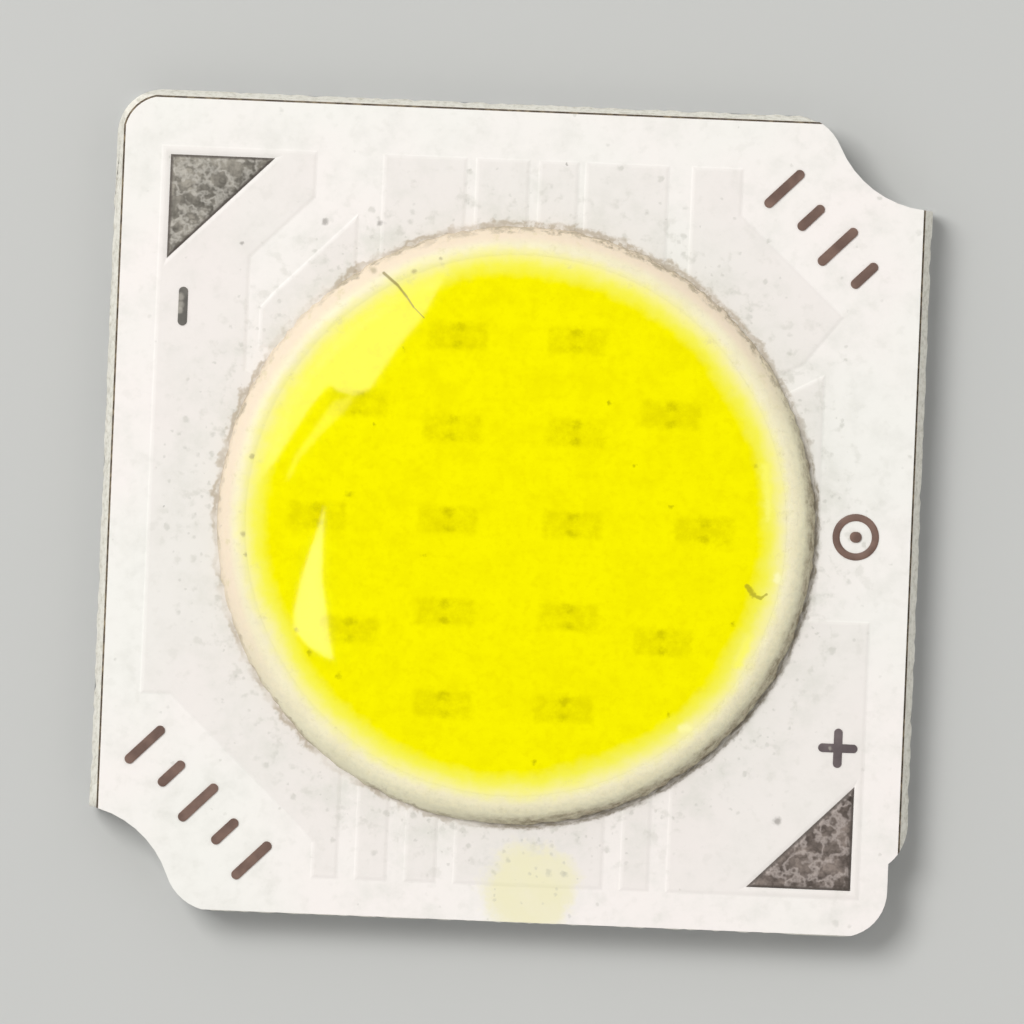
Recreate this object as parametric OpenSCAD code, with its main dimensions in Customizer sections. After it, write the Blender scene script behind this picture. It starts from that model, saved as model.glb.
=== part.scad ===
// Chip-on-board LED on a scored aluminium board.
// Sixteen blue dies in one series chain lie on the bare metal, inside a
// silicone dam that is filled with yellow phosphor gel.
// Origin: centre of the board's underside. +Z points to the emitting side,
// +X to the side with the plus pad, +Y to the side with the minus pad.

/* [Board] */
// Side of the square board, across its scored edges
board_side = 15; // [14.5:0.1:17]
// Thickness of the aluminium base plate
base_t = 1; // [0.8:0.1:1.6]
// Width of the bevel that the scoring leaves on the left and right, seen from above
score_sides = 0.14; // [0.06:0.02:0.2]
// Width of that bevel along the upper edge
score_upper = 0.12; // [0.06:0.02:0.2]
// Width of that bevel along the lower edge, where the board broke at the groove's rim
score_lower = 0.03; // [0.02:0.01:0.2]
// Depth of that bevel from either face
score_depth = 0.3; // [0.1:0.05:0.35]
// Radius of the two routed screw notches
notch_r = 1.9; // [1.6:0.05:2]
// How far outside the corner each notch is centred, in X and in Y
notch_out = 0.14; // [0:0.02:0.4]
// Radius of the round where the router leaves a straight edge
lead_r = 0.95; // [0.7:0.05:1.2]
// Radius of the two routed round corners
corner_r = 0.85; // [0.5:0.05:1]
// How far the routed corners lie inside the scored sides
corner_inset = 0.18; // [0.18:0.01:0.25]
// Length of side that the routing of a round corner takes
corner_run = 2.1; // [1.9:0.05:2.3]
// Offset of the routing from the scored outline, in X
rout_dx = -0.16; // [-0.16:0.02:0.16]
// Offset of the routing from the scored outline, in Y
rout_dy = 0.1; // [-0.12:0.02:0.12]

/* [Layers] */
// Thickness of the laminate that carries the copper
laminate_t = 0.1; // [0.06:0.01:0.15]
// Thickness of the copper foil
copper_t = 0.035; // [0.018:0.001:0.07]
// Thickness of the white solder mask over the copper
mask_t = 0.025; // [0.015:0.005:0.04]
// How far the mask sags where there is no copper under it
mask_sag = 0.012; // [0.004:0.002:0.014]
// Width of the laminate left bare along the upper and side edges
mask_back = 0.035; // [0.01:0.005:0.08]
// How far the laminate stays back round the upper left corner
corner_back = 0.1; // [0.02:0.01:0.15]

/* [Copper] */
// Offset of the whole printed pattern from the board's centre, in Y
pattern_dy = -0.17; // [-0.2:0.01:0.1]
// Margin from the board's edge to the copper
copper_margin = 0.85; // [0.7:0.05:1]
// Margin from the copper's corner to a solder pad
pad_margin = 0.17; // [0.1:0.01:0.3]
// Leg of each triangular solder pad
pad_leg = 1.9; // [1.4:0.1:2.2]
// Height of the tinning above its copper
solder_t = 0.05; // [0.045:0.005:0.1]
// Width of the sloping rim round the tinning
solder_rim = 0.09; // [0.05:0.01:0.15]

/* [Chips] */
// Gap from the outer chips to the laminate's window
chip_gap = 0.12; // [0.08:0.02:0.3]
// Distance of the two inner columns from the centre
column_x = 1.13; // [0.9:0.02:1.3]
// Pitch of the rows in the inner columns
row_pitch = 1.68; // [1.3:0.02:1.8]
// Length of a chip
chip_l = 1.04; // [0.8:0.02:1.1]
// Width of a chip
chip_w = 0.46; // [0.4:0.02:0.6]
// Thickness of a chip
chip_t = 0.15; // [0.1:0.01:0.2]
// Thickness of the adhesive under a chip
glue_t = 0.02; // [0.01:0.005:0.04]
// How far the adhesive shows round a chip
glue_rim = 0.03; // [0.01:0.005:0.06]
// Radius of a bond pad on a chip
bond_pad_r = 0.055; // [0.045:0.005:0.07]
// Diameter of the gold bond wire
wire_d = 0.03; // [0.02:0.005:0.04]
// Height of a wire's loop above its ends
wire_rise = 0.16; // [0.1:0.02:0.2]

/* [Dam and gel] */
// Radius of the dam's crest
dam_r = 5; // [4.95:0.01:5.05]
// Width of the dam's bead at its foot
dam_w = 1; // [0.9:0.02:1.1]
// Height of the dam above the solder mask
dam_h = 0.45; // [0.38:0.01:0.5]
// Offset of the dam from the pattern's centre, in X
dam_dx = 0.1; // [-0.1:0.02:0.1]
// Offset of the dam from the pattern's centre, in Y
dam_dy = -0.05; // [-0.08:0.01:0.08]
// How far inside the crest the gel ends
gel_short = 0.06; // [0.04:0.01:0.2]
// How far the gel bulges above its own edge
gel_dome = 0.1; // [0.04:0.02:0.2]

/* [Hidden] */
$fn = 96;
half = board_side / 2;
copper_half = half - copper_margin;
over = 1;

// Heights of the layers
laminate_z = base_t + laminate_t;
copper_z = laminate_z + copper_t;
mask_z = copper_z + mask_t;
sag_z = mask_z - mask_sag;
chip_z = base_t + glue_t;
metal_t = 0.01;
pad_z = chip_z + chip_t + metal_t;

// Circles round the pattern's centre, from the dam's foot inwards: the wires' landings,
// the edge of the copper and the laminate's window
bond_clear = 0.06;
bond_in = 0.1;
foil_back = 0.05;
bond_r = dam_r - dam_w / 2 - norm([dam_dx, dam_dy]) - bond_clear;
copper_r = bond_r - bond_in;
window_r = copper_r - foil_back;
chip_ring_r = window_r - chip_l / 2 - chip_gap;
mask_open_r = dam_r;

// The dam's bead is part of a round rod that lies on the mask
bead_r = (dam_w * dam_w / 4 + dam_h * dam_h) / (2 * dam_h);
bead_z = mask_z + dam_h - bead_r;
gel_r = dam_r - gel_short;
gel_edge_z = bead_z + sqrt(bead_r * bead_r - gel_short * gel_short);
dome_steps = 8;

// The copper is drawn on a grid of millimetres for a board of the usual size, and follows its edge
usual_half = 6.65;
grid = copper_half / usual_half;
// Left and right edge of each copper bar that runs straight out from the window
top_bars = grid * [[-2.6, -1.05], [-0.9, 0.1], [0.25, 1], [1.1, 2.65]];
bottom_bars = grid * [[-2.6, -2], [-1.7, -1.1], [-0.8, 1.95], [2.25, 2.8]];
// X of the wires that land on the copper
inner_x = 1.2 * grid;
slanted_x = 0.65 * grid;
outer_x = 2.45 * grid;
rail_x = 3.3 * grid;

// Chips in the order of the chain: up the right, down, up, and down the left
function on_ring(step) = chip_ring_r * [cos(36 * step), sin(36 * step)];
function flipped(points) = [for (p = points) [-p[0], p[1]]];
right_string = [on_ring(-1), on_ring(0), on_ring(1)];
inner_rows = [[column_x, row_pitch], [column_x, 0], [column_x, -row_pitch]];
inner_string = concat([on_ring(2)], inner_rows, [on_ring(-2)]);
strings = [right_string, inner_string, flipped(inner_string), flipped(right_string)];
chips = [for (s = strings) for (p = s) p];

// A point on the copper round the window, above (side 1) or below (side -1) the centre
function finger(x, side) = [x, side * sqrt(bond_r * bond_r - x * x), copper_z];
upper_ends = [finger(outer_x, 1), finger(inner_x, 1), finger(-inner_x, 1), finger(-outer_x, 1)];
lower_ends = [finger(rail_x, -1), finger(inner_x, -1), finger(-slanted_x, -1), finger(-rail_x, -1)];

// A wire's sides and the steps along its loop, and the size of its ball and foot
wire_sides = 6;
wire_steps = 8;
ball_r = 1.3 * wire_d;
foot_r = wire_d;

// The wires of one string, from its upper end to its lower end
pad_in = 0.03;
pad_y = chip_w / 2 - bond_pad_r - pad_in;
function pad_at(chip, side) = [chip[0], chip[1] + side * pad_y, pad_z];
function from_top(n) = strings[n][0][1] > 0 ? strings[n] : [for (i = [2:-1:0]) strings[n][i]];
function wires_of(n) = let (s = from_top(n), last = len(s) - 1) concat(
    [[pad_at(s[0], 1), upper_ends[n]]],
    [for (i = [1:last]) [pad_at(s[i - 1], -1), pad_at(s[i], 1)]],
    [[pad_at(s[last], -1), lower_ends[n]]]
);

function two_digits(i) = str(i < 10 ? "0" : "", i);
chip_names = [for (i = [1:len(chips)]) str("led_chip_", two_digits(i))];
top_names = [for (i = [1:len(top_bars)]) str("top_copper_", i)];
bottom_names = [for (i = [1:len(bottom_bars)]) str("bottom_copper_", i)];
wire_names = [for (i = [1:len(strings)]) str("bond_wires_", i)];

// ---------- Places ----------

// The printing, the chips and the dam share an offset from the board
module on_pattern() {
    translate([0, pattern_dy, 0]) children();
}

module on_dam() {
    translate([dam_dx, pattern_dy + dam_dy, 0]) children();
}

// A flat layer from one height to another
module layer(bottom, top) {
    translate([0, 0, bottom]) linear_extrude(top - bottom) children();
}

// ---------- Board ----------

// A screw notch at the upper right, and the round that leads it into the top edge
module notch_cut(dx, dy) {
    c = [half + notch_out + dx, half + notch_out + dy];
    lead_y = half - lead_r;
    run = notch_r + lead_r;
    f = [c[0] - sqrt(run * run - (c[1] - lead_y) * (c[1] - lead_y)), lead_y];
    touch = f + (c - f) * lead_r / run;
    translate(c) circle(notch_r);
    difference() {
        polygon([f, [f[0], half + over], [c[0], half + over], c, touch]);
        translate(f) circle(lead_r);
    }
}

// A round corner at the lower right, set in from the side that it leads into.
// A layer may stay back from the plate's own round.
module corner_cut(dx, back) {
    x = half - corner_inset + dx;
    lead_y = -half + corner_run;
    difference() {
        translate([x, -half - over]) square([corner_inset - dx + over, corner_run + over]);
        translate([half - lead_r, lead_y]) circle(lead_r);
    }
    difference() {
        translate([x - corner_r, -half - over]) square([corner_r + over, corner_r + over]);
        translate([x - corner_r, -half + corner_r]) circle(corner_r - back);
    }
}

// The board's rectangle, less its bevels where a layer has them, and less the routed corners
module board_outline(sides, upper, lower, back) {
    size = [board_side - 2 * sides, board_side - upper - lower];
    difference() {
        translate([-half + sides, -half + lower]) square(size);
        notch_cut(rout_dx, rout_dy);
        rotate(180) notch_cut(-rout_dx, -rout_dy);
        corner_cut(rout_dx, 0);
        rotate(180) corner_cut(-rout_dx, back);
    }
}

// A bar along Y with the flanks that V-grooves of two widths leave on its left and right
module scored_bar(left, right) {
    rotate([90, 0, 0]) linear_extrude(board_side + over, center = true) polygon([
        [-half + left, 0], [half - right, 0], [half, score_depth], [half, base_t - score_depth],
        [half - right, base_t], [-half + left, base_t], [-half, base_t - score_depth], [-half, score_depth]
    ]);
}

module base_plate() {
    color("silver") intersection() {
        layer(0, base_t) board_outline(0, 0, 0, 0);
        scored_bar(score_sides, score_sides);
        rotate(90) scored_bar(score_lower, score_upper);
    }
}

module laminate() {
    color("peru") difference() {
        layer(base_t, laminate_z) board_outline(score_sides, score_upper, score_lower, corner_back);
        on_pattern() layer(base_t - over, laminate_z + over) circle(window_r);
    }
}

// ---------- Copper ----------

// One piece of foil: its outline, cut back round the window
module foil() {
    on_pattern() layer(laminate_z, copper_z) difference() {
        children();
        circle(copper_r);
    }
}

module minus_outline() {
    h = usual_half;
    scale(grid) polygon([
        [-h, h], [-3.8, h], [-3.8, 5.8], [-4.95, 4.65], [-4.95, 2.6], [-2.9, 1.5],
        [-2.9, -h], [-3.4, -h], [-3.4, -6], [-3.55, -5.8], [-6.1, -3.4], [-h, -3.4]
    ]);
}

module plus_outline() {
    h = usual_half;
    scale(grid) polygon([[3.1, -h], [h, -h], [h, -1.55], [3.1, -1.55]]);
}

module upper_left_outline() {
    scale(grid) polygon([[-4.75, 3], [-3, 3], [-3, 5.55], [-4.45, 4.1], [-4.75, 3.75]]);
}

module upper_right_outline() {
    h = usual_half;
    scale(grid) polygon([[3.05, h], [4, h], [4, 5.8], [5.95, 4], [5.25, 3.1], [3.05, 2]]);
}

module right_outline() {
    scale(grid) polygon([[5.65, 2.95], [5.65, -1.3], [3.6, -1.3], [3.6, 1.85]]);
}

module bar_outline(bar, side) {
    far = side * copper_half;
    polygon([[bar[0], 0], [bar[1], 0], [bar[1], far], [bar[0], far]]);
}

module copper_outline() {
    minus_outline();
    plus_outline();
    upper_left_outline();
    upper_right_outline();
    right_outline();
    for (bar = top_bars) bar_outline(bar, 1);
    for (bar = bottom_bars) bar_outline(bar, -1);
}

module minus_copper() {
    color("goldenrod") foil() minus_outline();
}

module plus_copper() {
    color("goldenrod") foil() plus_outline();
}

module upper_left_copper() {
    color("goldenrod") foil() upper_left_outline();
}

module upper_right_copper() {
    color("goldenrod") foil() upper_right_outline();
}

module right_copper() {
    color("goldenrod") foil() right_outline();
}

module top_copper(i) {
    color("goldenrod") foil() bar_outline(top_bars[i], 1);
}

module bottom_copper(i) {
    color("goldenrod") foil() bar_outline(bottom_bars[i], -1);
}

// ---------- Solder mask and tinning ----------

// The plus pad's triangle, made smaller all round by an inset
module pad_outline(inset) {
    c = copper_half - pad_margin - inset;
    leg = pad_leg - inset * (2 + sqrt(2));
    polygon([[c, -c], [c, -c + leg], [c - leg, -c]]);
}

// The mask stands a little higher where it covers copper
module solder_mask() {
    color("white") difference() {
        union() {
            layer(laminate_z, sag_z) board_outline(
                score_sides + mask_back, score_upper + mask_back, score_lower, corner_back + mask_back
            );
            on_pattern() layer(copper_z, mask_z) copper_outline();
        }
        foil() copper_outline();
        on_pattern() layer(base_t, mask_z + over) circle(mask_open_r);
        on_pattern() layer(laminate_z, mask_z + over) pad_outline(0);
        on_pattern() rotate(180) layer(laminate_z, mask_z + over) pad_outline(0);
    }
}

// Tin fills the mask's opening and stands proud of it, with a sloping rim
module tinning() {
    on_pattern() hull() {
        layer(copper_z, mask_z) pad_outline(0);
        layer(copper_z, copper_z + solder_t) pad_outline(solder_rim);
    }
}

module plus_solder() {
    color("dimgray") tinning();
}

module minus_solder() {
    color("dimgray") translate([0, 2 * pattern_dy, 0]) rotate(180) tinning();
}

// ---------- Chips ----------

module led_chip(i) {
    color("skyblue") on_pattern() translate(chips[i]) {
        layer(chip_z, chip_z + chip_t) square([chip_l, chip_w], center = true);
        for (side = [-1, 1]) translate([0, side * pad_y, chip_z + chip_t]) cylinder(metal_t, r = bond_pad_r);
    }
}

module die_attach() {
    glue = [chip_l + 2 * glue_rim, chip_w + 2 * glue_rim];
    color("gainsboro") on_pattern() for (p = chips) {
        translate(p) layer(base_t, chip_z) square(glue, center = true);
    }
}

// ---------- Bond wires ----------

// A wire starts upright on a flattened ball, arches over and ends upright on a pressed foot

// A point of the loop's centre line at the share t of its way, in the upright plane of its ends
function loop_at(a, b, t) = let (s = (1 - cos(180 * t)) / 2)
    a + (b - a) * s + [0, 0, wire_rise * sin(180 * t)];

// The slope of the loop there
function loop_turn(a, b, t) = let (
    ahead = norm([b[0] - a[0], b[1] - a[1]]) * sin(180 * t),
    up = (b[2] - a[2]) * sin(180 * t) + 2 * wire_rise * cos(180 * t)
) atan2(up, ahead);

// A ring of points square to the loop: the way is its heading from above, the turn its slope
function ring(centre, way, turn, r) = [
    for (k = [0:wire_sides - 1])
        let (q = 360 * k / wire_sides, across = r * cos(q), along = r * sin(q))
        centre + [
            -way[1] * across - way[0] * sin(turn) * along,
            way[0] * across - way[1] * sin(turn) * along,
            cos(turn) * along
        ]
];

module wire(a, b) {
    flat = [b[0] - a[0], b[1] - a[1]];
    way = flat / norm(flat);
    up = [0, 0, wire_d / 2];
    rings = concat(
        [ring(a, way, 90, ball_r), ring(a + up, way, 90, ball_r)],
        [for (i = [1:wire_steps - 1]) let (t = i / wire_steps)
            ring(loop_at(a, b, t), way, loop_turn(a, b, t), wire_d / 2)],
        [ring(b + up, way, -90, foot_r), ring(b, way, -90, foot_r)]
    );
    n = wire_sides;
    points = [for (r = rings) for (p = r) p];
    last = len(rings) - 1;
    sides = [for (j = [0:last - 1]) for (k = [0:n - 1])
        let (p = j * n + k, q = j * n + (k + 1) % n) each [[p, q, q + n], [p, q + n, p + n]]];
    ends = [[for (k = [n - 1:-1:0]) k], [for (k = [0:n - 1]) last * n + k]];
    polyhedron(points, concat(sides, ends));
}

module bond_wires(n) {
    color("gold") on_pattern() for (w = wires_of(n)) wire(w[0], w[1]);
}

// ---------- Dam and gel ----------

module bead_outline() {
    translate([dam_r, bead_z]) circle(bead_r);
}

// The dispensed bead fills the steps of the layers that it lies on
module dam() {
    color("ivory") difference() {
        on_dam() rotate_extrude() difference() {
            bead_outline();
            translate([0, base_t - over]) square([dam_r + dam_w, over]);
        }
        laminate();
        foil() copper_outline();
        solder_mask();
    }
}

// Gel inside the dam, up to a low dome that ends on the bead just short of its crest
function dome_z(r) = gel_edge_z + gel_dome * (1 - r * r / (gel_r * gel_r));

module gel_fill() {
    dome = [for (i = [0:dome_steps]) let (r = gel_r * (1 - i / dome_steps)) [r, dome_z(r)]];
    on_dam() rotate_extrude() difference() {
        polygon(concat([[0, base_t], [gel_r, base_t]], dome));
        bead_outline();
    }
}

module phosphor_gel() {
    color("yellow") difference() {
        gel_fill();
        laminate();
        foil() copper_outline();
        die_attach();
        for (i = [0:len(chips) - 1]) led_chip(i);
        for (n = [0:len(strings) - 1]) bond_wires(n);
    }
}

// ---------- Parts ----------

base_plate();
laminate();
solder_mask();
minus_copper();
plus_copper();
upper_left_copper();
upper_right_copper();
right_copper();
for (i = [0:len(top_bars) - 1]) top_copper(i);
for (i = [0:len(bottom_bars) - 1]) bottom_copper(i);
minus_solder();
plus_solder();
die_attach();
for (i = [0:len(chips) - 1]) led_chip(i);
for (n = [0:len(strings) - 1]) bond_wires(n);
dam();
phosphor_gel();
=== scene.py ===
import functools
import math

import bpy
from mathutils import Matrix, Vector, noise


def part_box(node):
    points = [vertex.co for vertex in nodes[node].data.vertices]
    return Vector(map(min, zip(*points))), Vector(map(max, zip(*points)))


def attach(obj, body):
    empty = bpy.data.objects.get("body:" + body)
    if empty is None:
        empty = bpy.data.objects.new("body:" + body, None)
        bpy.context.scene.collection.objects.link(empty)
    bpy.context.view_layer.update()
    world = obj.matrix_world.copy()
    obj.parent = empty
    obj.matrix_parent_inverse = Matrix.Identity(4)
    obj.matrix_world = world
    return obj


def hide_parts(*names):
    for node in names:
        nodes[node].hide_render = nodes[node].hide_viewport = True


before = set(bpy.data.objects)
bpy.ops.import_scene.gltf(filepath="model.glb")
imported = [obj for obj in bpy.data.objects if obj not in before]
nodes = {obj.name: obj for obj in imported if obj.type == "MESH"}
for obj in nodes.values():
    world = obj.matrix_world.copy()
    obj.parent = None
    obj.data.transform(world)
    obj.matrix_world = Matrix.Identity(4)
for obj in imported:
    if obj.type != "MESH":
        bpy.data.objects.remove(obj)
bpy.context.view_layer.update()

# ---------------------------------------------------------------------------
# Base plate
# A rolled aluminium plate, scored on both faces with a V-wheel and snapped
# out of its panel, so the flanks are rough and the underside is plain metal.
# ---------------------------------------------------------------------------

mm = 0.001
weld_reach = 0.0001 * mm


def paint(red, green, blue):
    """A colour as a paint chart gives it, from 0 to 255, for a shader"""
    def light(level):
        level = level / 255
        return level / 12.92 if level <= 0.04045 else ((level + 0.055) / 1.055) ** 2.4
    return (light(red), light(green), light(blue), 1)


class Value:
    """A number or a colour on its way through a finish, so that sums are written as sums"""

    def __init__(self, finish, socket):
        self.finish = finish
        self.socket = socket

    def maths(self, operation, *terms):
        return self.finish.add("Math", {"operation": operation}, dict(enumerate(terms)))

    def __add__(self, other):
        return self.maths("ADD", self, other)

    def __radd__(self, other):
        return self.maths("ADD", other, self)

    def __sub__(self, other):
        return self.maths("SUBTRACT", self, other)

    def __rsub__(self, other):
        return self.maths("SUBTRACT", other, self)

    def __mul__(self, other):
        return self.maths("MULTIPLY", self, other)

    def __rmul__(self, other):
        return self.maths("MULTIPLY", other, self)

    def __truediv__(self, other):
        return self.maths("DIVIDE", self, other)

    def __pow__(self, other):
        return self.maths("POWER", self, other)

    def __abs__(self):
        return self.maths("ABSOLUTE", self)

    def least(self, other):
        return self.maths("MINIMUM", self, other)

    def most(self, other):
        return self.maths("MAXIMUM", self, other)

    def rise(self, low, high):
        """0 below low, 1 above high, and a smooth way between; low may be the greater"""
        if low > high:
            return 1 - self.rise(high, low)
        ends = {"Value": self, "From Min": low, "From Max": high}
        return self.finish.add("MapRange", {"interpolation_type": "SMOOTHSTEP"}, ends)


class Finish:
    """A material, with its pattern laid out in millimetres of the part's own frame"""

    def __init__(self, name, **sockets):
        self.material = bpy.data.materials.new(name)
        self.material.use_nodes = True
        self.tree = self.material.node_tree
        self.shader = self.tree.nodes["Principled BSDF"]
        for socket, value in sockets.items():
            self.shader.inputs[socket.replace("_", " ")].default_value = value
        metres = self.add("TexCoord", out="Object")
        self.place = self.add("VectorMath", {"operation": "SCALE"}, {0: metres, "Scale": 1 / mm})
        self.x = self.add("SeparateXYZ", {}, {0: self.place}, "X")
        self.y = self.add("SeparateXYZ", {}, {0: self.place}, "Y")
        self.z = self.add("SeparateXYZ", {}, {0: self.place}, "Z")

    def add(self, kind, settings=None, inputs=None, out=0):
        """Adds one node: its type, its settings, what its sockets take, and which output is wanted"""
        node = self.tree.nodes.new("ShaderNode" + kind)
        for name, setting in (settings or {}).items():
            setattr(node, name, setting)
        for name, value in (inputs or {}).items():
            if isinstance(value, Value):
                self.tree.links.new(value.socket, node.inputs[name])
            else:
                node.inputs[name].default_value = value
        return Value(self, node.outputs[out])

    def feed(self, socket, value):
        """Lets a value or a colour drive one socket of the shader"""
        self.tree.links.new(value.socket, self.shader.inputs[socket])

    def mix(self, share, first, second):
        """The first colour where share is 0, the second where it is 1"""
        return self.add("Mix", {"data_type": "RGBA"}, {0: share, 6: first, 7: second}, 2)

    def cloud(self, scale, detail=3, roughness=0.55, stretch=(1, 1, 1), seed=0):
        """Soft noise from 0 to 1, at a scale in waves a millimetre"""
        moved = {"Vector": self.place, "Location": (seed, seed / 3, 0), "Scale": stretch}
        place = self.add("Mapping", {}, moved)
        steps = {"Vector": place, "Scale": scale, "Detail": detail, "Roughness": roughness}
        return self.add("TexNoise", {}, steps)

    def place_near(self, scale, seed):
        """The place, moved on by a seed and pulled about, so that what stands on it is uneven"""
        moved = self.add("Mapping", {}, {"Vector": self.place, "Location": (seed, seed / 3, seed / 2)})
        pull = self.add("TexNoise", {}, {"Vector": moved, "Scale": scale * 2.5, "Detail": 3}, "Color")
        pull = self.add("VectorMath", {"operation": "SUBTRACT"}, {0: pull, 1: (0.5, 0.5, 0.5)})
        pull = self.add("VectorMath", {"operation": "SCALE"}, {0: pull, "Scale": 0.5 / scale})
        return self.add("VectorMath", {"operation": "ADD"}, {0: moved, 1: pull})

    def far(self, centre):
        """The distance from an upright axis"""
        across = self.x - centre[0]
        along = self.y - centre[1]
        return (across * across + along * along) ** 0.5

    def bump(self, height, depth):
        """Raises the surface by a pattern, to a depth in millimetres"""
        rough = {"Strength": 1, "Distance": depth * mm, "Height": height}
        self.feed("Normal", self.add("Bump", {}, rough, "Normal"))


def pick(piece):
    """Makes a piece the one that is selected and active"""
    bpy.ops.object.select_all(action="DESELECT")
    piece.select_set(True)
    bpy.context.view_layer.objects.active = piece


def coat(piece, finish, smooth=None):
    """Gives a piece its finish; smooth is the widest angle, in degrees, that shades as a curve"""
    piece.data.materials.clear()
    piece.data.materials.append(finish.material)
    if smooth is not None:
        pick(piece)
        bpy.ops.object.shade_smooth_by_angle(angle=math.radians(smooth))


def start_from(node, name):
    """A new piece with a node's own shape, welded, and open in edit mode with all of it selected"""
    piece = bpy.data.objects.new(name, nodes[node].data.copy())
    bpy.context.scene.collection.objects.link(piece)
    pick(piece)
    bpy.ops.object.mode_set(mode="EDIT")
    bpy.ops.mesh.select_all(action="SELECT")
    bpy.ops.mesh.remove_doubles(threshold=weld_reach)
    return piece


plate_low, plate_high = (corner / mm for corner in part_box("base_plate"))

rolled = Finish("rolled_aluminium", Metallic=1, Roughness=0.42)
grain = rolled.cloud(2, detail=4, stretch=(0.4, 12, 1))
torn = rolled.cloud(9, detail=5, roughness=0.7)
wheel_lines = rolled.cloud(1, detail=3, roughness=0.6, stretch=(0.6, 0.6, 22), seed=5)
flank = rolled.z.rise(plate_low.z, plate_low.z + 0.05) * rolled.far((0, 0)).rise(5.6, 6.2)
middle_z = (plate_low.z + plate_high.z) / 2
upper_flank = flank * rolled.z.rise(middle_z + 0.06, middle_z + 0.2)
break_band = flank * abs(rolled.z - middle_z + (torn - 0.5) * 0.16).rise(0.2, 0.1)
bare = rolled.mix(grain, paint(196, 197, 200), paint(222, 223, 225))
cut = rolled.mix(wheel_lines.rise(0.3, 0.7), paint(172, 172, 170), paint(224, 224, 222))
cut = rolled.mix(break_band * torn.rise(0.3, 0.6), cut, paint(150, 150, 150))
snapped = rolled.mix(torn.rise(0.25, 0.6), paint(212, 208, 192), paint(250, 247, 236))
side = rolled.mix(upper_flank, cut, snapped)
rolled.feed("Base Color", rolled.mix(flank, bare, side))
rolled.feed("Metallic", 1 - upper_flank * 0.8)
rolled.feed("Roughness", 0.34 + grain * 0.12 + flank * 0.12 + break_band * 0.2)
rolled.bump(grain * 0.15 + flank * wheel_lines * 0.4 + break_band * torn, 0.03)

long_edge = 3
tear_edge, tear_side = 0.008, 0.05
coarse_waves, fine_waves = 2.2, 7
cuts = 100
side_deep, side_half = 0.25, 5.3


def tear(coarse, fine, level):
    """How far the break tore the metal, from coarse and fine noise, which change with the level"""
    return abs(noise.noise(Vector(coarse) + level) + noise.noise(Vector(fine) + level) * 0.7)


plate = start_from("base_plate", "plate_snapped")
bpy.ops.mesh.dissolve_limited(angle_limit=math.radians(0.5))
bpy.ops.mesh.select_mode(type="EDGE")
bpy.ops.mesh.select_all(action="DESELECT")
bpy.ops.object.mode_set(mode="OBJECT")
for edge in plate.data.edges:
    start, end = (plate.data.vertices[index].co for index in edge.vertices)
    edge.select = (start - end).length > long_edge * mm
bpy.ops.object.mode_set(mode="EDIT")
bpy.ops.mesh.subdivide(number_cuts=cuts)
bpy.ops.object.mode_set(mode="OBJECT")
for vertex in plate.data.vertices:
    spot = vertex.co / mm
    at_face = abs(spot.z - middle_z) > (plate_high.z - plate_low.z) * 0.45
    depth = tear_edge if at_face else tear_side
    level = Vector((0, 0, spot.z * 3))
    if abs(spot.x) > plate_high.x - side_deep and abs(spot.y) < side_half:
        torn_x = tear((0, spot.y * coarse_waves, 0), (9, spot.y * fine_waves, 0), level)
        vertex.co.x -= math.copysign(depth * torn_x, spot.x) * mm
    if abs(spot.y) > plate_high.y - side_deep and abs(spot.x) < side_half:
        torn_y = tear((spot.x * coarse_waves, 5, 0), (spot.x * fine_waves, 3, 0), level)
        vertex.co.y -= math.copysign(depth * torn_y, spot.y) * mm
coat(plate, rolled, smooth=35)
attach(plate, "root")
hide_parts("base_plate")

# ---------------------------------------------------------------------------
# Laminate
# A thin sheet of glass-filled resin, pressed on to the plate to insulate the
# copper. Only its sawn brown edge shows, along the scored sides.
# ---------------------------------------------------------------------------

resin = Finish("brown_resin", Roughness=0.6)
fibres = resin.cloud(7, detail=4)
resin.feed("Base Color", resin.mix(fibres.rise(0.4, 0.8), paint(70, 54, 36), paint(150, 134, 106)))
resin.bump(fibres, 0.02)
coat(nodes["laminate"], resin)

# ---------------------------------------------------------------------------
# Copper
# Etched foil: a pour for each pole, a bar for each join between two strings,
# and a few pieces that this number of chips leaves unused.
# ---------------------------------------------------------------------------

foil = Finish("etched_copper", Metallic=1, Roughness=0.35)
tarnish = foil.cloud(3)
foil.feed("Base Color", foil.mix(tarnish, paint(184, 112, 78), paint(222, 150, 112)))
foil.feed("Roughness", 0.25 + tarnish * 0.2)
for name, node in nodes.items():
    if "copper" in name:
        coat(node, foil)

# ---------------------------------------------------------------------------
# Solder mask
# White ink, screened over the laminate and the copper. It stands a hair
# higher and looks a little greyer over copper, and handling has left specks,
# a yellow stain of phosphor resin, and dirt round the dam, darkened with
# painted shade on the dam's lower right.
# ---------------------------------------------------------------------------

mask_low, mask_high = (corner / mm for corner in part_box("solder_mask"))
dam_low, dam_high = (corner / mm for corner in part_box("dam"))
dam_centre = (dam_low + dam_high) / 2
dam_r = (dam_high.x - dam_low.x) / 2
stain_place = Vector((0.62, -6.85))
stain_r = 0.85


def lower_right(finish):
    """From 0 on the dam's upper left half to 1 on its lower right, which the pass left dirtier and
    which, turned away from the lamp, also takes painted shade
    """
    return (finish.x - dam_centre.x - (finish.y - dam_centre.y) * 0.75).rise(0.5, 7.0)


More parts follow.
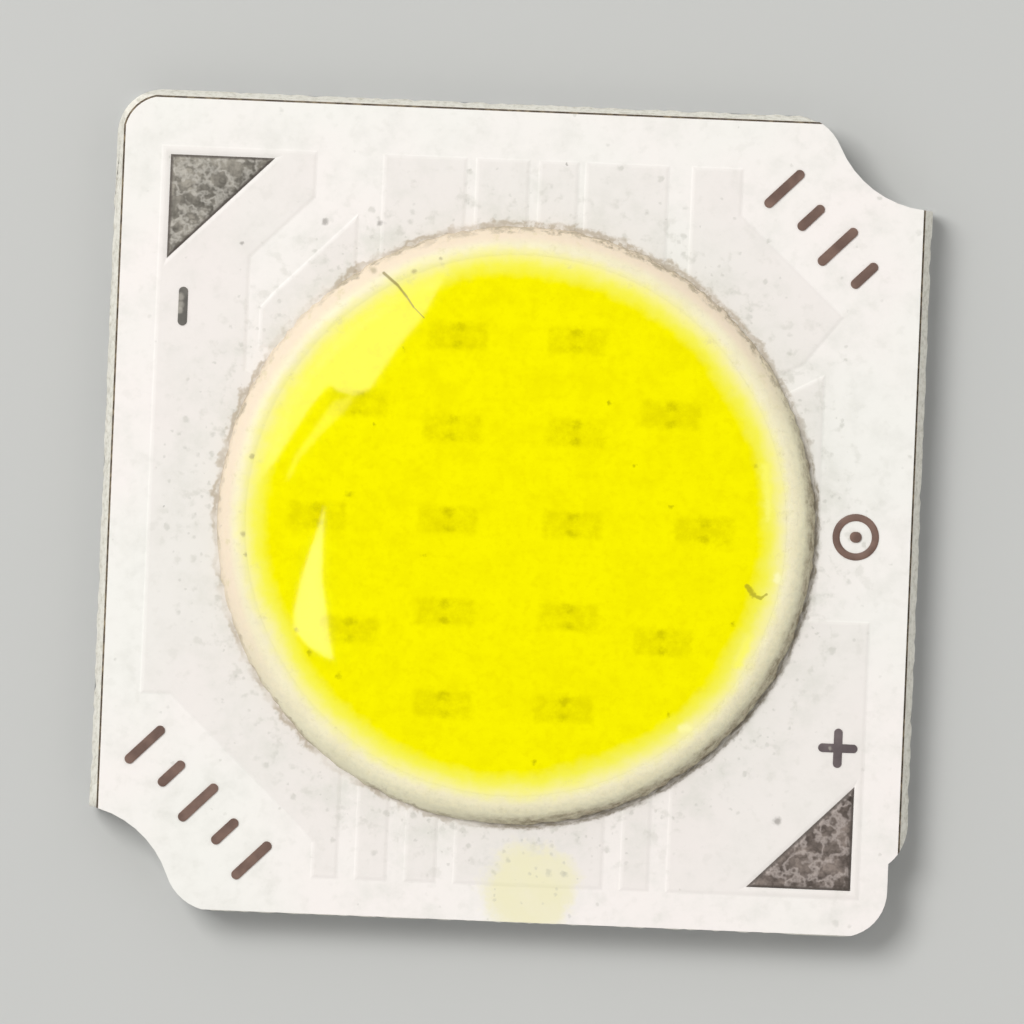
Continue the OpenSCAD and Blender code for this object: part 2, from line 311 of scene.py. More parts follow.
def foot_line(finish):
    """Dirt along the dam's foot: a thin broken line, clumped at the top, and on the lower right a wide
    dark stripe of soil and painted shade
    """
    east = finish.x - dam_centre.x
    north = finish.y - dam_centre.y
    clumps = finish.cloud(6, detail=4, roughness=0.65, seed=24)
    wobble = (finish.cloud(2.5, detail=3, roughness=0.6, seed=21) - 0.5) * 0.14 + (clumps - 0.5) * 0.12
    off = finish.far(dam_centre) - dam_r + wobble
    breaks = finish.cloud(1.1, detail=2, seed=23).rise(0.38, 0.55)
    zigzag = off + (finish.cloud(5.5, detail=2, seed=22) - 0.5) * 0.36
    line = abs(off + 0.02).rise(0.07, 0.02) * (0.1 + breaks * 0.35)
    scribble = abs(zigzag).rise(0.1, 0.01) * (0.2 + breaks * 0.55)
    upper_right = (east + north).rise(1.0, 6.5)
    clumped = abs(off + 0.03).rise(0.14, 0.06) * clumps.rise(0.42, 0.58) * upper_right * 0.8
    around = finish.add("Math", {"operation": "ARCTAN2"}, {0: north, 1: east})
    along = finish.add("CombineXYZ", {}, {0: around * dam_r * 4, 1: finish.far(dam_centre) * 13})
    streaks = finish.add("TexNoise", {}, {"Vector": along, "Scale": 1, "Detail": 4, "Roughness": 0.7})
    # Painted shade with soil: a wide streaky stripe at the foot, kept only on the lower right, the side
    # away from the lamp
    dirt_and_shade_band = off.rise(-0.25, -0.08) * off.rise(0.09, 0.03) * (0.4 + streaks.rise(0.35, 0.62) * 0.6)
    shady = lower_right(finish)
    return (line.most(scribble).most(clumped) * (1 - shady * 0.6)).most(dirt_and_shade_band * shady.rise(0.2, 0.7))


white = Finish("white_mask", Roughness=0.5, Coat_Weight=0.25, Coat_Roughness=0.35)
warmth = white.cloud(0.22, detail=2, seed=4)
mottle = white.cloud(1.6, detail=5, roughness=0.65, seed=9)
fine = white.cloud(9, detail=3, seed=2)
over_copper = white.z.rise(mask_high.z - 0.009, mask_high.z - 0.004)
ground = white.mix(warmth.rise(0.35, 0.65), paint(243, 241, 234), paint(247, 240, 235))
ground = white.mix(mottle.rise(0.4, 0.8) * 0.6, ground, paint(226, 224, 216))
ground = white.mix(over_copper * 0.4, ground, paint(230, 223, 217))

from_dam = white.far(dam_centre) - dam_r
near_dam = from_dam.rise(1.5, 0.0)
soil = near_dam * (mottle.rise(0.45, 0.75) * 0.4 + 0.15)
ground = white.mix(soil, ground, paint(218, 217, 206))
smudges = white.cloud(3.4, detail=3, roughness=0.6, seed=16).rise(0.54, 0.7)
ground = white.mix(smudges * (0.12 + near_dam * 0.34), ground, paint(196, 194, 182))
stain_way = white.far(stain_place) + (mottle - 0.5) * 0.9 + (fine - 0.5) * 0.25
stain = stain_way.rise(stain_r + 0.18, stain_r - 0.25) * (0.6 + mottle * 0.7)
ground = white.mix(stain, ground, paint(239, 233, 196))


def scattered(finish, scale, reach, seed, share):
    """Soft specks with ragged outlines; share is how much of the cells hold one, a value or a number"""
    place = finish.place_near(scale, seed)
    near = finish.add("TexVoronoi", {}, {"Vector": place, "Scale": scale}, "Distance")
    own = finish.add("TexVoronoi", {}, {"Vector": place, "Scale": scale}, "Color")
    chance = finish.add("SeparateColor", {}, {0: own}, 0)
    size = 0.4 + finish.add("SeparateColor", {}, {0: own}, 1) * 0.6
    return (near / size).rise(reach, reach * 0.35) * (chance + share - 1).rise(0.0, 0.03)


specks = scattered(white, 4, 0.4, 6, 0.04 + near_dam * 0.34 + stain * 0.1)
ground = white.mix(specks * 0.32, ground, paint(166, 166, 152))
small_specks = scattered(white, 8, 0.45, 2, 0.03 + near_dam * 0.22 + stain * 0.2)
ground = white.mix(small_specks * 0.28, ground, paint(170, 168, 156))
dark_specks = scattered(white, 1.7, 0.1, 1, 0.05)
ground = white.mix(dark_specks * 0.6, ground, paint(122, 118, 108))


def flecked(finish, tone, colour, share, core, pull, spots):
    """Single flecks over a tone, each a place and a radius; core is the share of it that is darkest"""
    for east, north, size in spots:
        fleck = finish.far((east, north)) + pull
        tone = finish.mix(fleck.rise(size, size * core) * share, tone, colour)
    return tone


fleck_pull = (fine - 0.5) * 0.12 + (mottle - 0.5) * 0.1
ground = flecked(white, ground, paint(120, 114, 106), 0.6, 0.3, fleck_pull, [
    (-3.62, 5.18, 0.09), (-2.62, 5.19, 0.08), (5.1, -5.42, 0.11), (-5.12, 4.72, 0.06),
])
# Painted shade: the foot soil on the mask is darker and a little stronger on the dam's lower right, the
# side away from the lamp
brown = white.mix(lower_right(white), paint(162, 142, 108), paint(124, 114, 94))
ground = white.mix(foot_line(white) * (0.8 + lower_right(white) * 0.12), ground, brown)
white.feed("Base Color", ground)
white.feed("Roughness", 0.42 + mottle * 0.2)
white.bump(mottle * 0.6 + fine * 0.4, 0.006)

# The ink flows down to a soft slope at each edge of the copper
slope_step = 0.035
top_z = mask_high.z - 0.001
levelled = start_from("solder_mask", "mask_levelled")
bpy.ops.mesh.select_mode(type="FACE")
bpy.ops.mesh.select_all(action="DESELECT")
bpy.ops.object.mode_set(mode="OBJECT")
for face in levelled.data.polygons:
    face.select = face.normal.z > 0.9 and face.center.z > top_z * mm
for drop in (0.0105, 0.004):
    bpy.ops.object.mode_set(mode="EDIT")
    bpy.ops.mesh.inset(thickness=slope_step * mm, use_even_offset=True)
    bpy.ops.object.mode_set(mode="OBJECT")
    inner = {index for face in levelled.data.polygons if face.select for index in face.vertices}
    for vertex in levelled.data.vertices:
        if vertex.index not in inner and vertex.co.z > top_z * mm:
            vertex.co.z = (mask_high.z - drop) * mm
coat(levelled, white)
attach(levelled, "root")
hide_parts("solder_mask")

# ---------------------------------------------------------------------------
# Solder pads
# The mask is left open in a triangle at two corners, and hot air has levelled
# tin over the copper there. Its blotchy dark grey is a painted reflection of
# dark surroundings in the glossy tin.
# ---------------------------------------------------------------------------


def tinned(name, way, dark, lighter_tone, bright):
    """Tin whose dark grey tones are a painted reflection of dark surroundings; way is +1 or -1, the side
    of the board that the pad's square corner is on
    """
    low, high = (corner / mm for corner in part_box(name))
    tin = Finish(name, Metallic=0.4, Roughness=0.45)
    square = Vector((high.x, low.y)) if way > 0 else Vector((low.x, high.y))
    across = (square.x - tin.x) * way
    along = (tin.y - square.y) * way
    leg = high.x - low.x
    rim = across.least(along).least((leg - across - along) / math.sqrt(2))
    blotch = tin.cloud(1.7, detail=4, roughness=0.6, seed=way * 7)
    crack = abs(tin.cloud(2.2, detail=3, roughness=0.6, seed=way * 5) - 0.5).rise(0.06, 0.0)
    ridge = abs(tin.cloud(2.6, detail=3, roughness=0.6, seed=way * 3) - 0.5).rise(0.08, 0.0)
    grit = tin.cloud(13, detail=3, roughness=0.65, seed=way)
    tone = tin.mix(blotch.rise(0.32, 0.66), dark, lighter_tone)
    tone = tin.mix(crack * 0.5, tone, dark)
    tone = tin.mix(ridge * 0.55, tone, bright)
    tone = tin.mix(grit.rise(0.4, 0.7) * 0.3, tone, dark)
    tone = tin.mix(rim.rise(0.07, 0.02) * 0.85, tone, paint(84, 76, 70))
    tin.feed("Base Color", tone)
    tin.feed("Roughness", 0.5 + blotch * 0.25)
    tin.bump(blotch * 0.7 + ridge * 0.3 + grit * 0.1, 0.006)
    coat(nodes[name], tin)


tinned("minus_solder", -1, paint(88, 84, 76), paint(166, 160, 148), paint(208, 203, 193))
tinned("plus_solder", 1, paint(68, 58, 52), paint(148, 135, 126), paint(200, 188, 181))

# ---------------------------------------------------------------------------
# Printed marks
# Thick brown-black ink, screened on the mask: the signs of the two poles,
# rows of plain ticks at two corners, and a ring round a probe point.
# ---------------------------------------------------------------------------

ink_t = 0.012
tick_w = 0.18
minus_w = 0.17
plus_w = 0.16
minus_arm = 0.27
plus_arm = 0.28


def ink(name, dark, light, thin=()):
    """Printing ink; thin holds spots and their reach, where the stroke came out starved and pale"""
    finish = Finish(name, Roughness=0.55)
    worn = finish.cloud(7, detail=4, roughness=0.7, seed=5)
    patch = finish.cloud(2.4, detail=2, seed=8).rise(0.35, 0.7)
    tone = finish.mix(worn * 0.5 + patch * 0.5, dark, light)
    for east, north, reach in thin:
        starved = (finish.far((east, north)) + (worn - 0.5) * 0.12).rise(reach, reach * 0.3)
        tone = finish.mix(starved * 0.5, tone, paint(190, 184, 172))
    finish.feed("Base Color", tone)
    finish.feed("Roughness", 0.45 + worn * 0.25)
    finish.bump(worn, 0.01)
    return finish


def stroke(start, end, width):
    """A round-ended line of ink from one point to another, half sunk in the mask"""
    way = Vector(end) - Vector(start)
    foot = Vector((start[0], start[1], mask_high.z - ink_t))
    bpy.ops.object.select_all(action="DESELECT")
    bpy.ops.mesh.primitive_circle_add(vertices=28, radius=width / 2 * mm, fill_type="NGON")
    line = bpy.context.object
    bpy.ops.object.mode_set(mode="EDIT")
    bpy.ops.mesh.select_all(action="DESELECT")
    bpy.ops.object.mode_set(mode="OBJECT")
    for vertex in line.data.vertices:
        vertex.select = vertex.co.x > weld_reach
    bpy.ops.object.mode_set(mode="EDIT")
    bpy.ops.transform.translate(value=(way.length * mm, 0, 0))
    bpy.ops.mesh.select_all(action="SELECT")
    bpy.ops.mesh.extrude_region_move(TRANSFORM_OT_translate={"value": (0, 0, 2 * ink_t * mm)})
    bpy.ops.mesh.select_all(action="SELECT")
    bpy.ops.mesh.normals_make_consistent(inside=False)
    bpy.ops.object.mode_set(mode="OBJECT")
    line.location = foot * mm
    line.rotation_euler.z = math.atan2(way.y, way.x)
    bpy.ops.object.transform_apply(location=True, rotation=True, scale=True)
    return line


def mark(name, strokes, finish, crossing=False):
    """Joins strokes into one printed mark on the mask, as one solid where they cross"""
    pick(strokes[0])
    if crossing:
        union = strokes[0].modifiers.new("crossing", "BOOLEAN")
        union.operation = "UNION"
        union.object = strokes[1]
        bpy.ops.object.modifier_apply(modifier=union.name)
        bpy.data.objects.remove(strokes[1])
    elif len(strokes) > 1:
        for line in strokes:
            line.select_set(True)
        bpy.ops.object.join()
    printed = bpy.context.view_layer.objects.active
    printed.name = name
    coat(printed, finish, smooth=40)
    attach(printed, "root")


def centred_stroke(middle, reach, width):
    """A line of ink that reaches as far to both sides of its middle"""
    return stroke(middle - reach, middle + reach, width)


minus_place = Vector((-6.15, 3.54))
plus_place = Vector((6.15, -4.05))
minus_ink = ink("minus_ink", paint(74, 72, 66), paint(120, 116, 108), thin=[
    (-6.2, 3.7, 0.11), (-6.2, 3.57, 0.11), (-6.21, 3.46, 0.09),
])
plus_ink = ink("plus_ink", paint(78, 66, 68), paint(116, 104, 104), thin=[(6.0, -4.05, 0.05)])
brown_ink = ink("brown_ink", paint(88, 64, 54), paint(134, 106, 92))

mark("minus_sign", [centred_stroke(minus_place, Vector((0, minus_arm)), minus_w)], minus_ink)
mark("plus_sign", [
    centred_stroke(plus_place, Vector((plus_arm, 0)), plus_w),
    centred_stroke(plus_place, Vector((0, plus_arm)), plus_w),
], plus_ink, crossing=True)


def ticks(name, centre, count):
    """A row of ticks, long and short by turns, that runs down to the right at 45 degrees"""
    along = Vector((1, -1)).normalized()
    up = Vector((1, 1)).normalized()
    pitch = 0.72
    lines = []
    for number in range(count):
        middle = Vector(centre) + along * pitch * (number - (count - 1) / 2)
        reach = up * (0.38 if number % 2 == 0 else 0.22)
        lines.append(centred_stroke(middle, reach, tick_w))
    mark(name, lines, brown_ink)


ticks("upper_ticks", (5.52, 5.37), 4)
ticks("lower_ticks", (-5.5, -5.52), 5)

ring_place = Vector((6.32, -0.18))
ring_r = 0.36
ring_line_r = 0.065
dot_w = 0.2
bpy.ops.object.select_all(action="DESELECT")
bpy.ops.mesh.primitive_torus_add(major_segments=72, minor_segments=12,
                                 major_radius=ring_r * mm, minor_radius=ring_line_r * mm)
ring = bpy.context.object
bpy.ops.object.mode_set(mode="EDIT")
bpy.ops.mesh.select_all(action="SELECT")
bpy.ops.transform.resize(value=(1, 1, ink_t / ring_line_r), center_override=(0, 0, 0))
bpy.ops.object.mode_set(mode="OBJECT")
ring.location = (ring_place.x * mm, ring_place.y * mm, mask_high.z * mm)
bpy.ops.object.transform_apply(location=True)
dot = centred_stroke(ring_place, Vector((0.01, 0)), dot_w)
mark("probe_ring", [ring, dot], brown_ink)

# ---------------------------------------------------------------------------
# Chips, adhesive and bond wires
# Sapphire dies with two metal pads, stuck to the bare metal and joined in one
# chain by gold wire. The gel hides them, all but a faint shadow of each.
# ---------------------------------------------------------------------------


def clouded(name, scale, dark, light, **sockets):
    """A plain finish that drifts between two colours"""
    finish = Finish(name, **sockets)
    finish.feed("Base Color", finish.mix(finish.cloud(scale), dark, light))
    return finish


sapphire = clouded("blue_die", 6, paint(120, 140, 168), paint(150, 168, 190), Roughness=0.12, IOR=1.76)
silver_glue = clouded("silver_adhesive", 9, paint(168, 168, 164), paint(208, 208, 204),
                      Roughness=0.4, Metallic=0.6)
gold = clouded("bond_gold", 12, paint(236, 178, 84), paint(250, 208, 120), Roughness=0.2, Metallic=1)
coat(nodes["die_attach"], silver_glue)
for name, node in nodes.items():
    if name.startswith("led_chip"):
        coat(node, sapphire)
    if name.startswith("bond_wires"):
        coat(node, gold)

# ---------------------------------------------------------------------------
# Dam
# White silicone, laid down by a needle in one round pass and cured before the
# gel goes in. Its crest is smooth, its foot is ragged where it wetted the
# mask, and a seam runs across it where the pass began and ended.
# ---------------------------------------------------------------------------

# The bead is a round cord of silicone, sunk so deep that it is bead_w wide where it meets the mask
gel_low, gel_high = (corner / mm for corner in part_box("phosphor_gel"))
gel_r = (gel_high.x - gel_low.x) / 2
bead_w = 1.0
bead_h = dam_high.z - mask_high.z
bead_r = (bead_w ** 2 / 4 + bead_h ** 2) / (2 * bead_h)
bead_z = dam_high.z - bead_r
crest_r = dam_r - bead_r
rim_z = bead_z + math.sqrt(bead_r ** 2 - (crest_r - gel_r) ** 2)
foot_z = mask_low.z + 0.045


def near_line(finish, start, end):
    """The distance to a straight line between two points"""
    way = Vector(end) - Vector(start)
    east = finish.x - start[0]
    north = finish.y - start[1]
    run = ((east * way.x + north * way.y) / way.length_squared).most(0).least(1)
    return ((east - run * way.x) ** 2 + (north - run * way.y) ** 2) ** 0.5


def near_chain(finish, points, reaches):
    """The distance to a chain of straight lines, as a share of each line's own reach"""
    lines = zip(points, points[1:], reaches)
    shares = [near_line(finish, start, end) / reach for start, end, reach in lines]
    return functools.reduce(Value.least, shares)


def gel_tone(finish, deep):
    """The gel's deep yellow, which pales to cream as it thins out over the dam's inner flank"""
    drift = (finish.cloud(0.5, detail=3, seed=11) - 0.5) * 0.35
    drift = drift + (finish.cloud(4, detail=4, seed=12) - 0.5) * 0.22
    span = finish.far(dam_centre + Vector((-0.04, 0.03, 0))) + drift
    tone = finish.mix(span.rise(4.44, 4.72), deep, paint(248, 243, 84))
    tone = finish.mix(span.rise(4.66, 4.92), tone, paint(248, 241, 150))
    tone = finish.mix(span.rise(4.84, 5.14), tone, milky(finish))
    pull = (finish.cloud(6, detail=4, roughness=0.65, seed=13) - 0.5) * 0.2
    # Painted highlights: pale patches along the right rim, where the dam's inner slope faces the lamp
    for start, end, size, pale in [
        ((4.6, 1.03), (4.68, 0.5), 0.13, 110), ((4.69, 0.4), (4.7, 0.11), 0.1, 120),
        ((4.9, -0.95), (4.92, -1.02), 0.1, 190), ((4.44, -2.11), (4.25, -2.6), 0.14, 100),
        ((3.28, -3.8), (3.38, -3.79), 0.12, 170),
    ]:
        painted_rim_highlight = (near_line(finish, start, end) + pull).rise(size, 0.0)
        tone = finish.mix(painted_rim_highlight * 0.8, tone, paint(255, 251, pale))
    grey = finish.cloud(3.2, detail=4, roughness=0.7, seed=15).rise(0.58, 0.72) * span.rise(4.6, 4.9)
    tone = finish.mix(grey * 0.35, tone, paint(214, 204, 150))

    # The seam of the pass, a thin bowed line that runs in under the gel
    seam = [(-2.5, 4.29), (-2.24, 4.08), (-2.06, 3.87), (-1.93, 3.69), (-1.73, 3.5)]
    gap = near_chain(finish, seam, (0.03, 0.026, 0.018, 0.01)) + pull * 2
    return finish.mix(gap.rise(1.3, 0.4) * 0.75, tone, paint(140, 124, 60))


def milky(finish):
    """Cured silicone with its own lumps, pinkish on the outer flank at the upper left"""
    lumps = finish.cloud(1.2, detail=4, roughness=0.6, seed=1)
    grains = finish.cloud(7, detail=4, roughness=0.7, seed=17)
    tone = finish.mix(lumps.rise(0.3, 0.75), paint(246, 238, 204), paint(240, 231, 195))
    tone = finish.mix(grains.rise(0.5, 0.75) * 0.4, tone, paint(220, 210, 180))
    warm = finish.far(dam_centre).rise(5.12, 5.3) * ((0.45 - lower_right(finish)) * 2.2).most(0)
    warm = warm * (finish.y - dam_centre.y).rise(-4.5, -1.0)
    return finish.mix(warm * 0.8, tone, paint(244, 224, 202))


bpy.ops.object.select_all(action="DESELECT")
bpy.ops.mesh.primitive_torus_add(major_segments=256, minor_segments=40,
                                 major_radius=crest_r * mm, minor_radius=bead_r * mm,
                                 location=(dam_centre.x * mm, dam_centre.y * mm, bead_z * mm))
bead = bpy.context.object
bead.name = "dam_bead"
bpy.ops.object.transform_apply(location=True)
bpy.ops.object.mode_set(mode="EDIT")
bpy.ops.mesh.select_mode(type="EDGE")
bpy.ops.mesh.select_all(action="SELECT")
bpy.ops.mesh.bisect(plane_co=(0, 0, foot_z * mm), plane_no=(0, 0, 1), clear_inner=True,
                    threshold=weld_reach)
bpy.ops.mesh.bridge_edge_loops()
bpy.ops.mesh.select_all(action="SELECT")
bpy.ops.mesh.normals_make_consistent(inside=False)
bpy.ops.object.mode_set(mode="OBJECT")

# The bead keeps its form where the gel covers it, wavers a little above, and is ragged at its outer foot
foot_waves = ((38, 0.045), (90, 0.025), (7, 0.02))
for vertex in bead.data.vertices:
    spot = vertex.co / mm - Vector((dam_centre.x, dam_centre.y, 0))
    outward = Vector((spot.x, spot.y, 0)).normalized()
    radius = math.hypot(spot.x, spot.y)
    by_foot = min(1.0, max(0.0, 1.35 - (spot.z - foot_z) / 0.2))
    by_crest = max(0.0, spot.z - foot_z) / bead_h
    outside_gel = min(1.0, max(0.0, (radius - gel_r) / 0.4)) ** 2
    ragged = sum(noise.noise(outward * waves) * depth for waves, depth in foot_waves)
    wave = noise.noise(outward * 5 + Vector((0, 0, spot.z * 2))) * 0.012
    height = noise.noise(outward * 4 + Vector((5, 5, 5))) * 0.012 - 0.012
    shift = outward * (by_foot * (ragged - 0.03) + wave * by_crest)
    vertex.co.z = min(spot.z, rim_z) * mm
    vertex.co += (shift + Vector((0, 0, height * by_crest))) * outside_gel * mm

silicone = Finish("dam_silicone", Roughness=0.4, Specular_IOR_Level=0.2,
                  Coat_Weight=0.3, Coat_Roughness=0.25)
silicone.shader.inputs["Subsurface Weight"].default_value = 0.15
silicone.shader.inputs["Subsurface Radius"].default_value = (0.5, 0.45, 0.35)
silicone.shader.inputs["Subsurface Scale"].default_value = 0.3 * mm
lumps = silicone.cloud(1.2, detail=4, roughness=0.6, seed=1)
grains = silicone.cloud(9, detail=5, roughness=0.7, seed=2)
span = silicone.far(dam_centre)
shady = lower_right(silicone)
tone = gel_tone(silicone, paint(248, 242, 60))
# Painted shade with some soil: the outer flank greys towards its foot, most on the lower right and the
# lower side
lower = (dam_centre.y - silicone.y).rise(0.5, 5.0)
flank_shade_and_dirt = (span + (grains - 0.5) * 0.5).rise(5.06, 5.42) * (0.05 + shady * 0.45).most(lower * 0.4)
tone = silicone.mix(flank_shade_and_dirt, tone, paint(196, 197, 176))
# The foot's soil, with painted shade in its wide dark stripe on the lower right
foot_dirt_and_shade = foot_line(silicone)
brown = silicone.mix(grains.rise(0.35, 0.65), paint(140, 128, 103), paint(188, 176, 150))
tone = silicone.mix(foot_dirt_and_shade * (0.85 + shady * 0.15), tone, brown)
tone = flecked(silicone, tone, paint(150, 138, 100), 0.5, 0.2, (grains - 0.5) * 0.12, [
    (-1.95, 4.34, 0.07), (-1.47, 4.6, 0.05), (-2.69, 4.33, 0.1), (-4.87, -0.58, 0.08),
    (-4.8, -0.95, 0.06), (-4.77, 0.84, 0.07),
])
silicone.feed("Base Color", tone)
silicone.feed("Roughness", 0.36 + grains * 0.2 + foot_dirt_and_shade * 0.2)
silicone.feed("Coat Weight", span.rise(4.95, 5.3) * 0.14)
silicone.bump(lumps * 0.6 + grains * (0.35 + shady * 0.5) + foot_dirt_and_shade * 0.3, 0.025)
coat(bead, silicone, smooth=50)
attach(bead, "root")
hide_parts("dam")

# ---------------------------------------------------------------------------
# Phosphor gel
# Clear silicone, thick with yellow phosphor powder, poured inside the dam and
# cured to a glossy low dome. The chips show through as faint dark oblongs.
# ---------------------------------------------------------------------------

dome_h = gel_high.z - rim_z
rings = 32
wall_steps = 10


def dome_z(radius):
    """The height of the domed gel at a distance from its middle"""
    return rim_z + dome_h * (1 - (radius / gel_r) ** 2)


bpy.ops.object.select_all(action="DESELECT")
bpy.ops.mesh.primitive_circle_add(vertices=320, radius=gel_r * mm, fill_type="NGON",
                                  location=(dam_centre.x * mm, dam_centre.y * mm, rim_z * mm))
gel = bpy.context.object
gel.name = "gel_fill"
bpy.ops.object.transform_apply(location=True)
bpy.ops.object.mode_set(mode="EDIT")
bpy.ops.mesh.select_all(action="SELECT")
for ring_number in range(rings - 1):
    radius = gel_r * (1 - (ring_number + 1) / rings)
    lift = dome_z(radius) - dome_z(radius + gel_r / rings)
    bpy.ops.mesh.inset(thickness=gel_r / rings * mm, use_even_offset=False)
    bpy.ops.transform.translate(value=(0, 0, lift * mm))
bpy.ops.mesh.merge(type="CENTER")
bpy.ops.mesh.select_all(action="DESELECT")
bpy.ops.mesh.select_mode(type="EDGE")
bpy.ops.mesh.select_non_manifold(extend=False, use_wire=False, use_multi_face=False,
                                 use_non_contiguous=False, use_verts=False)
middle = (dam_centre.x * mm, dam_centre.y * mm, 0)
radius, level = gel_r, rim_z
for step in range(1, wall_steps + 1):
    new_level = rim_z + (plate_high.z - rim_z) * step / wall_steps
    new_radius = crest_r - math.sqrt(bead_r ** 2 - (new_level - bead_z) ** 2)
    bpy.ops.mesh.extrude_edges_move(TRANSFORM_OT_translate={"value": (0, 0, (new_level - level) * mm)})
    scale = new_radius / radius
    bpy.ops.transform.resize(value=(scale, scale, 1), center_override=middle)
    radius, level = new_radius, new_level
bpy.ops.mesh.edge_face_add()
bpy.ops.mesh.select_all(action="SELECT")
bpy.ops.mesh.normals_make_consistent(inside=False)
bpy.ops.object.mode_set(mode="OBJECT")

phosphor = Finish("phosphor_gel", Roughness=0.5, Specular_IOR_Level=0,
                  Coat_Weight=1, Coat_Roughness=0.02, Coat_IOR=1.43)
powder = phosphor.cloud(2.2, detail=5, roughness=0.65, seed=3)
wide = phosphor.cloud(0.35, detail=2, seed=6)
deep = phosphor.mix(powder.rise(0.35, 0.75), paint(253, 245, 0), paint(244, 234, 0))
deep = phosphor.mix(wide.rise(0.35, 0.75) * 0.4, deep, paint(254, 247, 0))
fine_powder = phosphor.cloud(7, detail=3, seed=19)
deep = phosphor.mix(fine_powder.rise(0.45, 0.75) * 0.5, deep, paint(240, 229, 0))

# Each chip darkens the gel over it in an uneven patch, and most of all over its two metal pads
pull_seed = 14
pulled = phosphor.place_near(3.5, pull_seed)
pulled_x = phosphor.add("SeparateXYZ", {}, {0: pulled}, "X") - pull_seed
pulled_y = phosphor.add("SeparateXYZ", {}, {0: pulled}, "Y") - pull_seed / 3
outside, inside = 0.09, -0.06
chip_count = sum(name.startswith("led_chip") for name in nodes)
shade = 0
pads = 0
for number in range(1, chip_count + 1):
    low, high = (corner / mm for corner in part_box(f"led_chip_{number:02d}"))
    chip = (low + high) / 2
    reach = (high - low) / 2
    east = abs(pulled_x - chip.x)
    north = pulled_y - chip.y
    shade_x = east.rise(reach.x + outside, reach.x + inside)
    shade_y = abs(north).rise(reach.y + outside, reach.y + inside)
    shade = shade + shade_x * shade_y
    for pad_y, size in [(0.14, 0.13), (-0.16, 0.11)]:
        pad = (east * east * 0.5 + (north - pad_y) ** 2) ** 0.5
        pads = pads + pad.rise(size, size * 0.2)
veil = phosphor.cloud(5, detail=4, roughness=0.7, seed=8).rise(0.3, 0.66)
deep = phosphor.mix(shade * (0.14 + veil * 0.38), deep, paint(218, 206, 0))
deep = phosphor.mix(pads * (0.2 + veil * 0.38), deep, paint(194, 184, 2))

# Dark flecks and a bent hair that were stirred in with the powder
drift = phosphor.cloud(9, detail=3, seed=4) - 0.5
deep = flecked(phosphor, deep, paint(160, 150, 10), 0.55, -0.2, drift * 0.22, [
    (-2.96, 0.2, 0.11), (-3.56, -2.68, 0.07), (-3.83, -2.26, 0.08), (-3.02, -3.09, 0.09),
    (-1.56, -0.85, 0.06), (1.71, 2.09, 0.06), (2.22, 0.96, 0.05), (2.9, 0.21, 0.06),
    (4.43, 1.06, 0.06), (4.12, -1.85, 0.06), (-2.56, 1.52, 0.05), (-2.09, 2.93, 0.04),
    (0.62, -4.52, 0.07), (3.03, -3.55, 0.08),
])
deep = gel_tone(phosphor, deep)
hair_way = [(4.36, -1.16), (4.49, -1.32), (4.62, -1.37), (4.72, -1.29)]
hair = near_chain(phosphor, hair_way, (0.05, 0.035, 0.025))
deep = phosphor.mix((hair + drift * 2).rise(1.3, 0.5) * 0.65, deep, paint(160, 148, 40))
phosphor.feed("Base Color", deep)
phosphor.feed("Coat Weight", phosphor.far(dam_centre).rise(4.93, 4.5))
coat(gel, phosphor, smooth=30)
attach(gel, "root")
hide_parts("phosphor_gel")

# ---------------------------------------------------------------------------
# Table, lights and camera
# The board lies on a pale table under a big soft lamp at the upper left, with
# white all round, and three small cards beside the lens shine in the gel.
# ---------------------------------------------------------------------------

bpy.ops.object.select_all(action="DESELECT")
bpy.ops.mesh.primitive_plane_add(size=2, location=(0, 0, plate_low.z * mm))
table = bpy.context.object
table.name = "table"
coat(table, clouded("table_top", 0.05, paint(196, 197, 194), paint(202, 202, 199), Roughness=0.85))

# The room is white, and dark only straight above, where the lens looks down into the gel
world = bpy.data.worlds.new("studio")
bpy.context.scene.world = world
world.use_nodes = True
sky = world.node_tree
sky.nodes["Background"].inputs["Color"].default_value = (1, 1, 1, 1)
way = sky.nodes.new("ShaderNodeTexCoord")
split = sky.nodes.new("ShaderNodeSeparateXYZ")
level = sky.nodes.new("ShaderNodeMapRange")
level.interpolation_type = "SMOOTHSTEP"
white_from, dark_within = math.radians(28), math.radians(13)
level.inputs["From Min"].default_value = math.cos(white_from)
level.inputs["From Max"].default_value = math.cos(dark_within)
level.inputs["To Min"].default_value = 0.61
level.inputs["To Max"].default_value = 0.02
sky.links.new(way.outputs["Generated"], split.inputs[0])
sky.links.new(split.outputs["Z"], level.inputs["Value"])
sky.links.new(level.outputs[0], sky.nodes["Background"].inputs["Strength"])


def lamp(name, place, size, watts):
    """A square soft lamp that faces the board"""
    light = bpy.data.lights.new(name, "AREA")
    light.size = size
    light.energy = watts
    holder = bpy.data.objects.new(name, light)
    bpy.context.scene.collection.objects.link(holder)
    holder.location = place
    holder.rotation_euler = (-Vector(place)).to_track_quat("-Z", "Y").to_euler()


lamp("key", (-0.15, 0.12, 0.33), 0.16, 0.87)

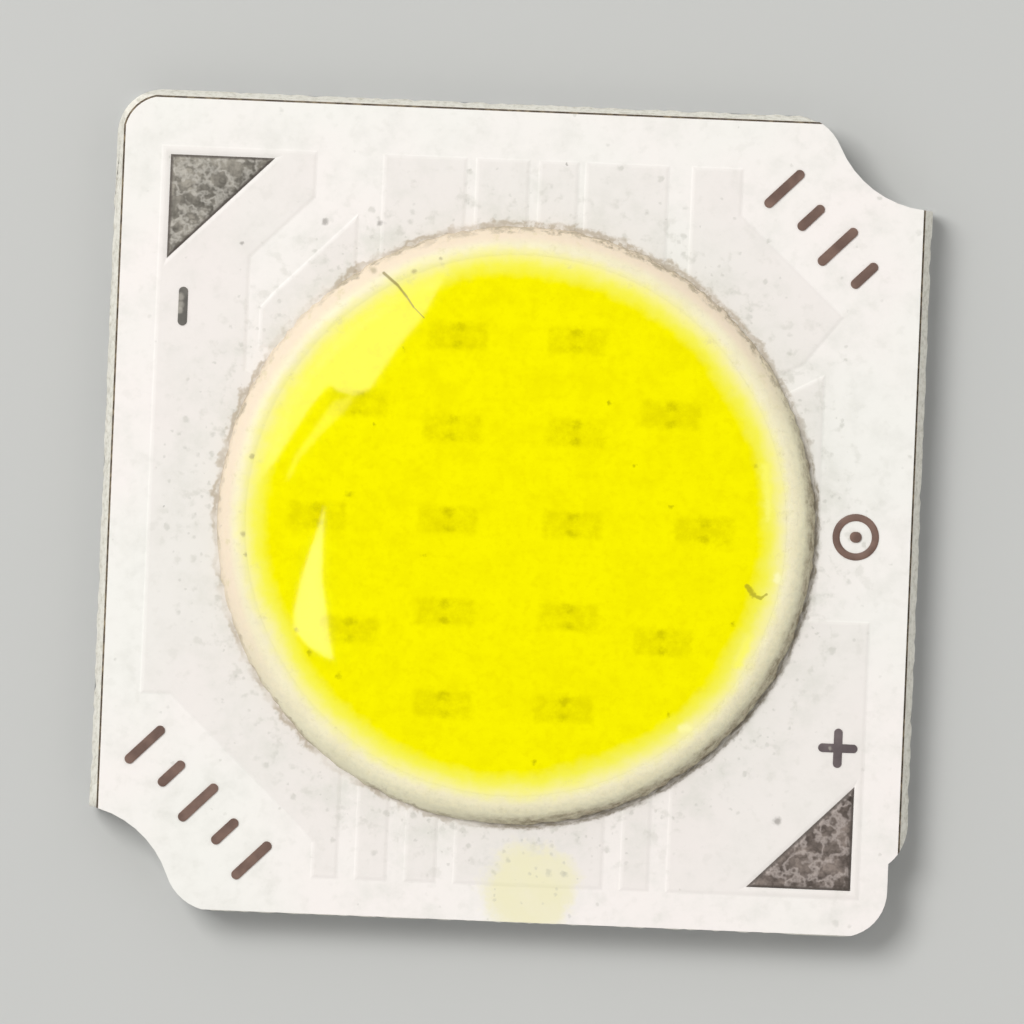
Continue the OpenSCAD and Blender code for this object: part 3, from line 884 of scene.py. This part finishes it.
camera_h = 300
view_centre = Vector((0.0194, 0.0236))
view_span = 18.73
view_turn = math.radians(2.35)
bpy.ops.object.camera_add(location=(view_centre.x * mm, view_centre.y * mm, camera_h * mm))
camera = bpy.context.object
camera.rotation_euler = (0, 0, view_turn)
camera.data.lens = camera.data.sensor_width * (camera_h - mask_high.z) / view_span
camera.data.clip_start = 0.01
bpy.context.scene.camera = camera
bpy.context.scene.view_settings.view_transform = "Standard"

card_h = 250


def card(name, outline, tint, glow):
    """A bright card, so placed that the domed gel mirrors it to the lens inside an outline on the gel"""
    bpy.ops.object.select_all(action="DESELECT")
    bpy.ops.mesh.primitive_circle_add(vertices=len(outline), radius=mm, fill_type="NGON")
    sheet = bpy.context.object
    sheet.name = name
    for vertex, spot in zip(sheet.data.vertices, outline):
        spot = Vector(spot)
        slope = (spot - dam_centre.xy) * 2 * dome_h / gel_r ** 2
        across = spot + card_h * (2 * slope + (spot - view_centre) / (camera_h - gel_high.z))
        vertex.co = (across.x * mm, across.y * mm, card_h * mm)
    sheet.visible_camera = False
    sheet.visible_diffuse = False
    sheet.visible_shadow = False
    coat(sheet, Finish(name, Emission_Strength=glow, Emission_Color=tint,
                       Base_Color=(0, 0, 0, 1), Roughness=1))


card("window_card", [
    (-1.0, 5.3), (-1.12, 4.75), (-1.3, 4.4), (-1.75, 3.5), (-2.2, 2.9), (-2.65, 2.15), (-2.95, 2.02),
    (-3.2, 2.08), (-3.41, 2.2), (-3.75, 1.75), (-4.3, 0.81), (-4.75, 0.2), (-5.4, 0.9), (-4.6, 3.4),
    (-2.6, 5.2),
], paint(255, 255, 250), 3.6)
card("streak_card", [
    (-2.94, 2.01), (-3.07, 1.77), (-3.55, 1.25), (-3.9, 0.83), (-4.06, 0.42), (-4.1, 0.5), (-3.94, 0.92),
    (-3.69, 1.29), (-3.31, 1.9),
], paint(255, 255, 200), 2.4)
card("side_card", [
    (-3.4, 0.04), (-3.4, -0.57), (-3.39, -1.35), (-3.3, -1.8), (-3.24, -2.26), (-3.12, -2.8),
    (-3.56, -2.59), (-3.86, -2.26), (-3.87, -1.96), (-3.76, -1.36), (-3.64, -0.9), (-3.48, -0.44),
], paint(255, 255, 250), 5.5)
